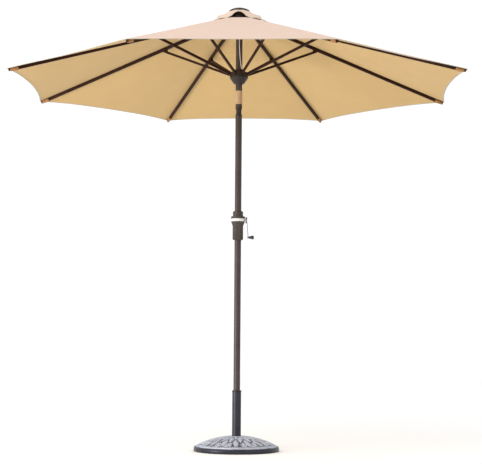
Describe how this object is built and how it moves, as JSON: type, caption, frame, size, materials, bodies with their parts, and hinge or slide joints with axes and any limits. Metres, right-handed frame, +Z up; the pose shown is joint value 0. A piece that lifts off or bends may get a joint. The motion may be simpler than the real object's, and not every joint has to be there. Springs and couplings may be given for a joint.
{
  "type": "patio umbrella with base",
  "caption": "Crank-lift patio umbrella with an eight-rib vented canopy, push-button tilt and a round cast stand base.",
  "frame": {"origin": "on the floor, under the middle of the pole", "axes": "+Z up along the pole, +X towards the crank, -Y is the front that shows the lift cord"},
  "size_m": [2.4944, 2.4944, 2.55],
  "materials": {
    "cast_base": "hand-rubbed pewter over dark casting",
    "charcoal_metal": "satin powder coat",
    "bronze_metal": "satin bronze powder coat",
    "dark_rib_metal": "satin dark brown powder coat",
    "bronze_casting": "bronze-coated casting",
    "bronze_plastic": "moulded bronze plastic",
    "brown_plastic": "moulded dark brown plastic",
    "black_plastic": "moulded black plastic",
    "grey_plastic": "moulded dark grey plastic",
    "white_plastic": "moulded white plastic",
    "zinc_steel": "zinc-plated steel",
    "polished_steel": "polished steel",
    "canopy_cloth": "woven tan polyester",
    "cord": "braided white cord"
  },
  "bodies": {
    "base": {"base_plate": "cast_base", "base_tube": "charcoal_metal", "base_bolt": "zinc_steel", "tube_collar": "black_plastic"},
    "clamp": {"clamp_screw": "zinc_steel", "clamp_knob": "black_plastic"},
    "mast": {"lower_pole": "bronze_metal", "pole_foot_cap": "black_plastic", "mid_pole": "bronze_metal", "housing_front": "bronze_plastic", "housing_rear": "bronze_plastic", "housing_ring": "white_plastic", "housing_screws": "zinc_steel", "shaft_bushes": "black_plastic", "brake_spring": "zinc_steel", "tilt_tongue": "bronze_casting", "button_spring": "zinc_steel", "lift_cord_lower": "cord"},
    "crank": {"drum_shaft": "zinc_steel", "cord_drum": "black_plastic", "crank_arm": "polished_steel"},
    "grip": {"crank_grip": "grey_plastic"},
    "button": {"tilt_button": "black_plastic"},
    "upper_mast": {"tilt_fork": "bronze_casting", "tilt_pin": "zinc_steel", "upper_pole": "bronze_metal", "tie_strap": "canopy_cloth", "crown_hub": "brown_plastic", "crown_ring": "zinc_steel", "pulley_pin": "zinc_steel", "finial": "brown_plastic", "lift_cord_upper": "cord"},
    "pulley": {"top_pulley": "white_plastic"},
    "cord_end": {"lift_cord_run": "cord"},
    "runner_body": {"runner": "brown_plastic", "runner_ring": "zinc_steel"},
    "rib_1_body": {"rib_1": "dark_rib_metal", "canopy_1": "canopy_cloth"},
    "strut_1_body": {"strut_1": "dark_rib_metal"},
    "rib_2_body": {"rib_2": "dark_rib_metal", "canopy_2": "canopy_cloth"},
    "strut_2_body": {"strut_2": "dark_rib_metal"},
    "rib_3_body": {"rib_3": "dark_rib_metal", "canopy_3": "canopy_cloth"},
    "strut_3_body": {"strut_3": "dark_rib_metal"},
    "rib_4_body": {"rib_4": "dark_rib_metal", "canopy_4": "canopy_cloth"},
    "strut_4_body": {"strut_4": "dark_rib_metal"},
    "rib_5_body": {"rib_5": "dark_rib_metal", "canopy_5": "canopy_cloth"},
    "strut_5_body": {"strut_5": "dark_rib_metal"},
    "rib_6_body": {"rib_6": "dark_rib_metal", "canopy_6": "canopy_cloth"},
    "strut_6_body": {"strut_6": "dark_rib_metal"},
    "rib_7_body": {"rib_7": "dark_rib_metal", "canopy_7": "canopy_cloth"},
    "strut_7_body": {"strut_7": "dark_rib_metal"},
    "rib_8_body": {"rib_8": "dark_rib_metal", "canopy_8": "canopy_cloth"},
    "strut_8_body": {"strut_8": "dark_rib_metal"}
  },
  "joints": [
    {"name": "mast_turn", "type": "hinge", "parent": "base", "child": "mast", "pos_m": [0, 0, 0.1], "axis": [0, 0, 1], "continuous": true},
    {"name": "clamp_turn", "type": "hinge", "parent": "base", "child": "clamp", "pos_m": [0, 0.04, 0.296], "axis": [0, 1, 0], "range_deg": [-720, 0]},
    {"name": "tilt", "type": "hinge", "parent": "mast", "child": "upper_mast", "pos_m": [0, 0, 1.94], "axis": [0, 1, 0], "range_deg": [0, 32]},
    {"name": "tilt_button_press", "type": "slide", "parent": "mast", "child": "button", "axis": [0, -1, 0], "range_m": [0, 0.003], "stiffness_N_per_m": 400, "springref_m": -0.002, "deforming": ["button_spring"]},
    {"name": "crank_spin", "type": "hinge", "parent": "mast", "child": "crank", "pos_m": [0, 0, 1.312], "axis": [1, 0, 0], "range_deg": [-3240, 0]},
    {"name": "grip_spin", "type": "hinge", "parent": "crank", "child": "grip", "pos_m": [0.075, 0, 1.213], "axis": [1, 0, 0], "continuous": true},
    {"name": "pulley_spin", "type": "hinge", "parent": "upper_mast", "child": "pulley", "pos_m": [0, -0.0115, 2.468], "axis": [1, 0, 0], "range_deg": [-2970, 0]},
    {"name": "cord_pay_out", "type": "slide", "parent": "upper_mast", "child": "cord_end", "axis": [0, 0, 1], "range_m": [-0.59, 0], "deforming": ["lift_cord_run"]},
    {"name": "canopy_fold", "type": "hinge", "parent": "upper_mast", "child": "rib_1_body", "pos_m": [0.01722, -0.04157, 2.505], "axis": [-0.9239, -0.3827, 0], "range_deg": [-67.5, 0], "deforming": ["canopy_1"]},
    {"name": "strut_1_fold", "type": "hinge", "parent": "rib_1_body", "child": "strut_1_body", "pos_m": [0.18369, -0.44346, 2.33], "axis": [-0.9239, -0.3827, 0], "range_deg": [0, 135]},
    {"name": "rib_2_fold", "type": "hinge", "parent": "upper_mast", "child": "rib_2_body", "pos_m": [0.04157, -0.01722, 2.505], "axis": [-0.3827, -0.9239, 0], "range_deg": [-67.5, 0], "deforming": ["canopy_2"]},
    {"name": "strut_2_fold", "type": "hinge", "parent": "rib_2_body", "child": "strut_2_body", "pos_m": [0.44346, -0.18369, 2.33], "axis": [-0.3827, -0.9239, 0], "range_deg": [0, 135]},
    {"name": "rib_3_fold", "type": "hinge", "parent": "upper_mast", "child": "rib_3_body", "pos_m": [0.04157, 0.01722, 2.505], "axis": [0.3827, -0.9239, 0], "range_deg": [-67.5, 0], "deforming": ["canopy_3"]},
    {"name": "strut_3_fold", "type": "hinge", "parent": "rib_3_body", "child": "strut_3_body", "pos_m": [0.44346, 0.18369, 2.33], "axis": [0.3827, -0.9239, 0], "range_deg": [0, 135]},
    {"name": "rib_4_fold", "type": "hinge", "parent": "upper_mast", "child": "rib_4_body", "pos_m": [0.01722, 0.04157, 2.505], "axis": [0.9239, -0.3827, 0], "range_deg": [-67.5, 0], "deforming": ["canopy_4"]},
    {"name": "strut_4_fold", "type": "hinge", "parent": "rib_4_body", "child": "strut_4_body", "pos_m": [0.18369, 0.44346, 2.33], "axis": [0.9239, -0.3827, 0], "range_deg": [0, 135]},
    {"name": "rib_5_fold", "type": "hinge", "parent": "upper_mast", "child": "rib_5_body", "pos_m": [-0.01722, 0.04157, 2.505], "axis": [0.9239, 0.3827, 0], "range_deg": [-67.5, 0], "deforming": ["canopy_5"]},
    {"name": "strut_5_fold", "type": "hinge", "parent": "rib_5_body", "child": "strut_5_body", "pos_m": [-0.18369, 0.44346, 2.33], "axis": [0.9239, 0.3827, 0], "range_deg": [0, 135]},
    {"name": "rib_6_fold", "type": "hinge", "parent": "upper_mast", "child": "rib_6_body", "pos_m": [-0.04157, 0.01722, 2.505], "axis": [0.3827, 0.9239, 0], "range_deg": [-67.5, 0], "deforming": ["canopy_6"]},
    {"name": "strut_6_fold", "type": "hinge", "parent": "rib_6_body", "child": "strut_6_body", "pos_m": [-0.44346, 0.18369, 2.33], "axis": [0.3827, 0.9239, 0], "range_deg": [0, 135]},
    {"name": "rib_7_fold", "type": "hinge", "parent": "upper_mast", "child": "rib_7_body", "pos_m": [-0.04157, -0.01722, 2.505], "axis": [-0.3827, 0.9239, 0], "range_deg": [-67.5, 0], "deforming": ["canopy_7"]},
    {"name": "strut_7_fold", "type": "hinge", "parent": "rib_7_body", "child": "strut_7_body", "pos_m": [-0.44346, -0.18369, 2.33], "axis": [-0.3827, 0.9239, 0], "range_deg": [0, 135]},
    {"name": "rib_8_fold", "type": "hinge", "parent": "upper_mast", "child": "rib_8_body", "pos_m": [-0.01722, -0.04157, 2.505], "axis": [-0.9239, 0.3827, 0], "range_deg": [-67.5, 0], "deforming": ["canopy_8"]},
    {"name": "strut_8_fold", "type": "hinge", "parent": "rib_8_body", "child": "strut_8_body", "pos_m": [-0.18369, -0.44346, 2.33], "axis": [-0.9239, 0.3827, 0], "range_deg": [0, 135]},
    {"name": "runner_slide_pivot", "type": "hinge", "parent": "strut_1_body", "child": "runner_body", "pos_m": [0.01722, -0.04157, 2.155], "axis": [-0.9239, -0.3827, 0], "range_deg": [-67.5, 0]}
  ],
  "couplings": [
    {"joint": "crank_spin", "follows": "canopy_fold", "ratio": 48},
    {"joint": "cord_pay_out", "follows": "canopy_fold", "m_per_rad": 0.49887},
    {"joint": "pulley_spin", "follows": "canopy_fold", "ratio": 43.38},
    {"joint": "strut_1_fold", "follows": "canopy_fold", "ratio": -2},
    {"joint": "rib_2_fold", "follows": "canopy_fold", "ratio": 1},
    {"joint": "strut_2_fold", "follows": "canopy_fold", "ratio": -2},
    {"joint": "rib_3_fold", "follows": "canopy_fold", "ratio": 1},
    {"joint": "strut_3_fold", "follows": "canopy_fold", "ratio": -2},
    {"joint": "rib_4_fold", "follows": "canopy_fold", "ratio": 1},
    {"joint": "strut_4_fold", "follows": "canopy_fold", "ratio": -2},
    {"joint": "rib_5_fold", "follows": "canopy_fold", "ratio": 1},
    {"joint": "strut_5_fold", "follows": "canopy_fold", "ratio": -2},
    {"joint": "rib_6_fold", "follows": "canopy_fold", "ratio": 1},
    {"joint": "strut_6_fold", "follows": "canopy_fold", "ratio": -2},
    {"joint": "rib_7_fold", "follows": "canopy_fold", "ratio": 1},
    {"joint": "strut_7_fold", "follows": "canopy_fold", "ratio": -2},
    {"joint": "rib_8_fold", "follows": "canopy_fold", "ratio": 1},
    {"joint": "strut_8_fold", "follows": "canopy_fold", "ratio": -2},
    {"joint": "runner_slide_pivot", "follows": "canopy_fold", "ratio": 1}
  ]
}
